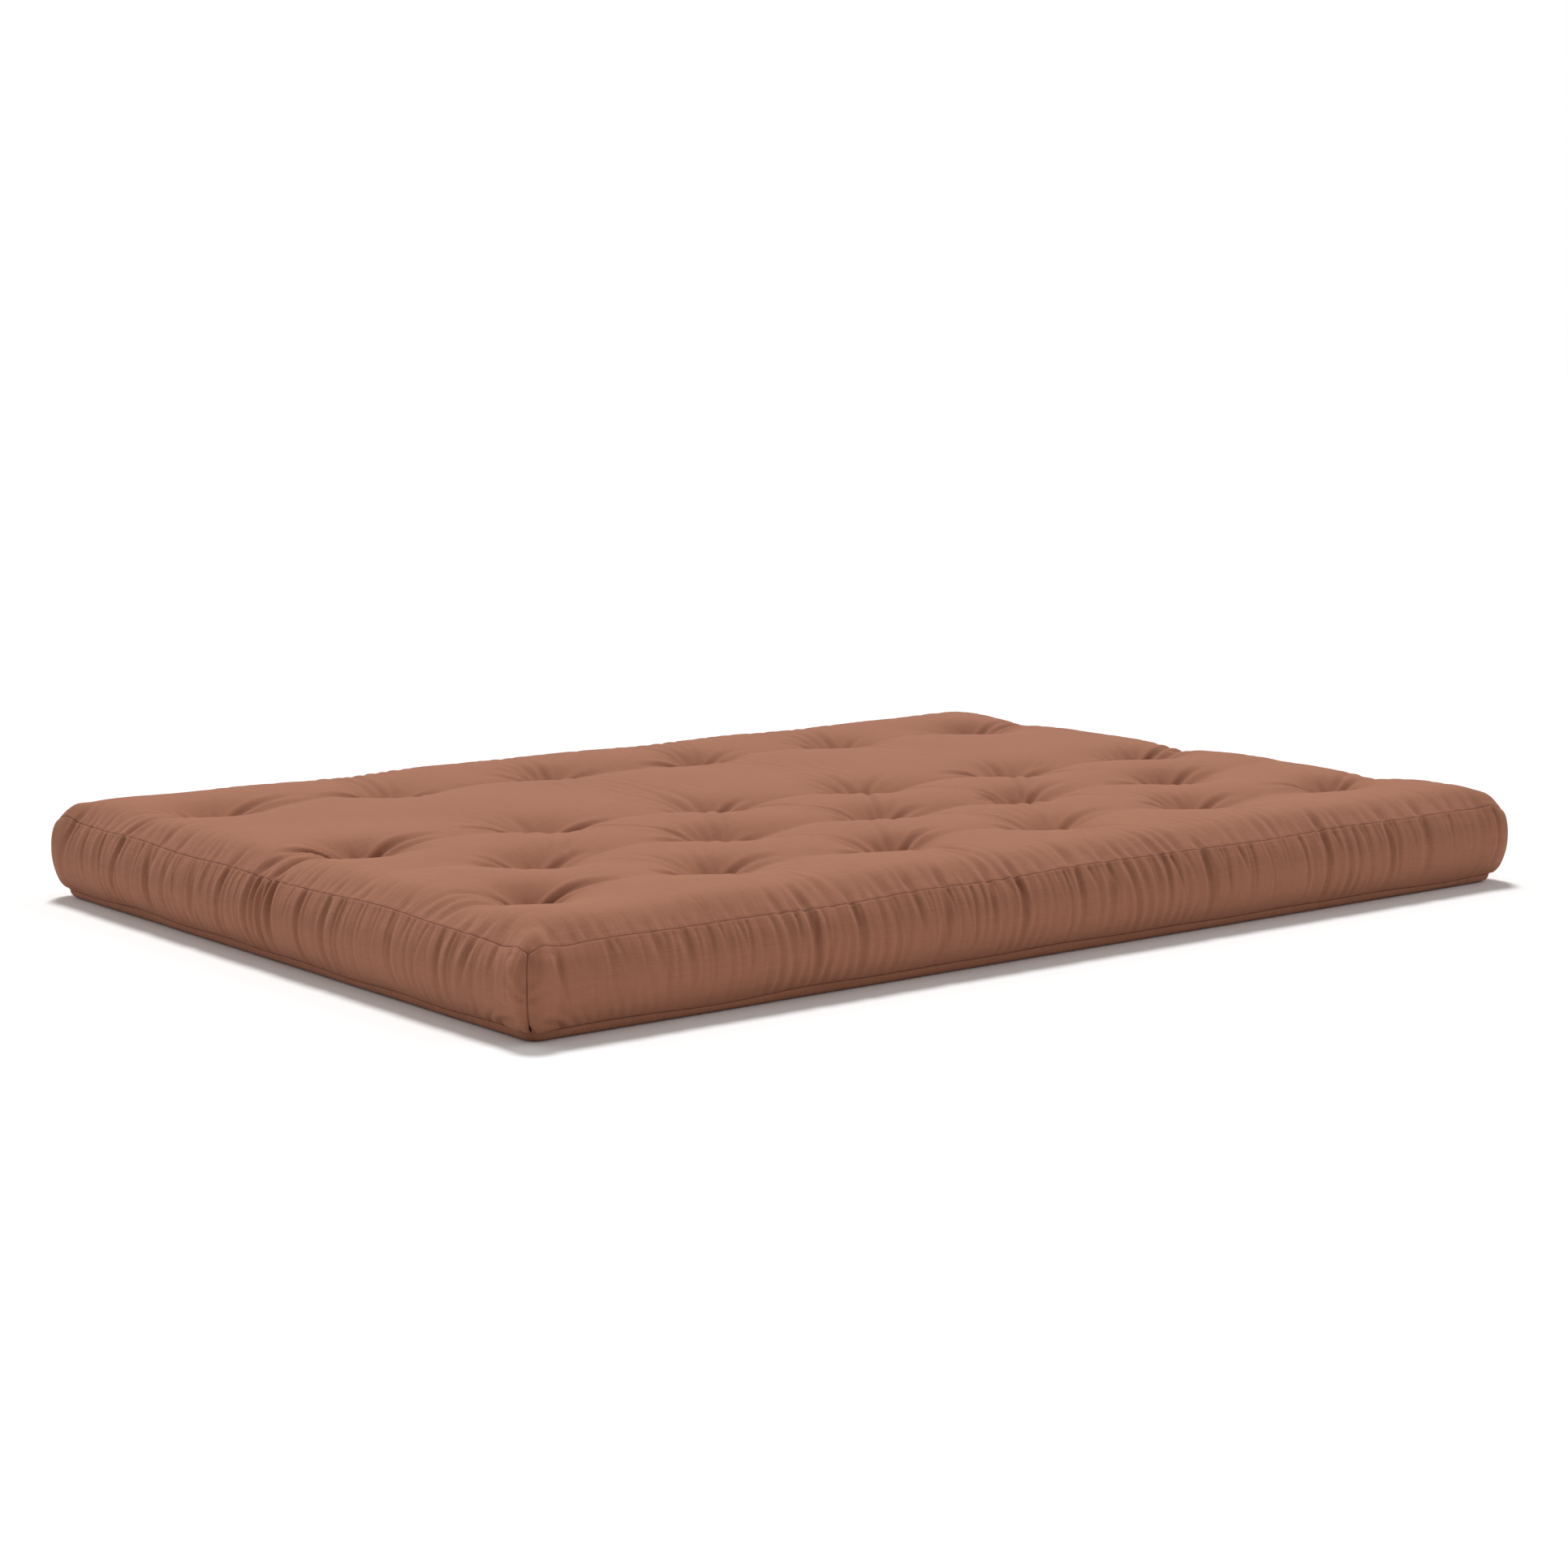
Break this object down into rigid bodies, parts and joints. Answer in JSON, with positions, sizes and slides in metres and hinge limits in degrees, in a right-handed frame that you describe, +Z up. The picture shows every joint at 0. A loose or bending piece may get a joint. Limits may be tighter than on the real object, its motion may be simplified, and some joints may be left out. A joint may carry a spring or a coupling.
{
  "type": "futon mattress",
  "caption": "Flat tufted futon mattress: a sewn woven cover over layers of cotton felt and foam, folding lengthwise along its middle row of tufts.",
  "frame": {"origin": "middle of the underside, on the surface that the mattress lies on, directly under the fold line", "axes": "+X along the length, towards the right-hand end seen from the front; +Y across the width, from the seat half towards the back half; +Z up"},
  "size_m": [2.04, 1.44, 0.16],
  "materials": {
    "cover_cloth": "matt plain-weave cotton, terracotta",
    "border_cloth": "matt plain-weave cotton, terracotta",
    "cotton_felt": "raw needled cotton felt",
    "foam": "open-cell foam",
    "sewing_thread": "twisted polyester thread",
    "tufting_twine": "waxed tufting twine"
  },
  "bodies": {
    "seat_half": {"seat_top_panel": "cover_cloth", "seat_bottom_panel": "cover_cloth", "front_border": "border_cloth", "left_border_seat": "border_cloth", "right_border_seat": "border_cloth", "seat_felt_1": "cotton_felt", "seat_felt_2": "cotton_felt", "seat_felt_3": "cotton_felt", "seat_felt_4": "cotton_felt", "seat_felt_5": "cotton_felt", "seat_felt_6": "cotton_felt", "seat_foam_1": "foam", "seat_foam_2": "foam", "seat_upper_seam": "sewing_thread", "seat_lower_seam": "sewing_thread", "seat_corner_seams": "sewing_thread", "tufts_front_row": "tufting_twine", "tufts_staggered_row": "tufting_twine", "tufts_fold_row": "tufting_twine"},
    "back_half": {"back_top_panel": "cover_cloth", "back_bottom_panel": "cover_cloth", "rear_border": "border_cloth", "left_border_back": "border_cloth", "right_border_back": "border_cloth", "back_felt_1": "cotton_felt", "back_felt_2": "cotton_felt", "back_felt_3": "cotton_felt", "back_felt_4": "cotton_felt", "back_felt_5": "cotton_felt", "back_felt_6": "cotton_felt", "back_foam_1": "foam", "back_foam_2": "foam", "back_upper_seam": "sewing_thread", "back_lower_seam": "sewing_thread", "back_corner_seams": "sewing_thread", "tufts_rear_row": "tufting_twine"}
  },
  "joints": [
    {"name": "fold", "type": "hinge", "parent": "seat_half", "child": "back_half", "pos_m": [0, 0, 0.1603], "axis": [1, 0, 0], "range_deg": [0, 178]}
  ]
}
